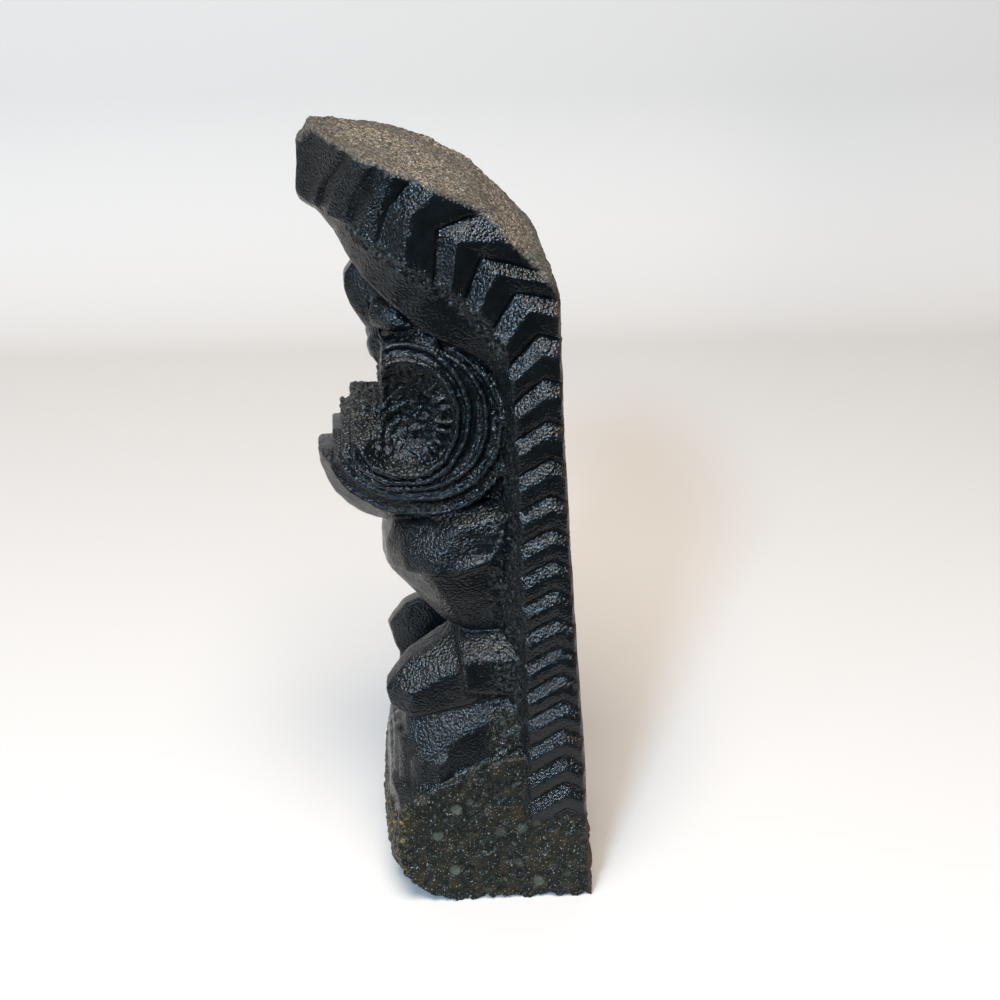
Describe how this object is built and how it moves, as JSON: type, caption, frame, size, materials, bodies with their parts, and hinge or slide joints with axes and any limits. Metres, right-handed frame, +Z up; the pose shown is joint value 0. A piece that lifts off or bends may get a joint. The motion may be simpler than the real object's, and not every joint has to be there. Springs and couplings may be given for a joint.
{
  "type": "lava rock tiki figurine",
  "caption": "Standing carved tiki figure with a forward-curving hood, chevron side band, stepped gaping mouth, bent legs and a low base.",
  "frame": {"origin": "under the middle of the bounding box, on the floor plane", "axes": "+Z up, -Y the way the figure faces, +X towards the figure's left side"},
  "size_m": [0.0526, 0.06, 0.1684],
  "materials": {
    "black_lava_stone": "black lacquer over cast lava stone, satin to gloss, left bare and tan-grey on the back and the hood's top"
  },
  "bodies": {
    "root": {"tiki_figurine": "black_lava_stone"}
  },
  "joints": []
}
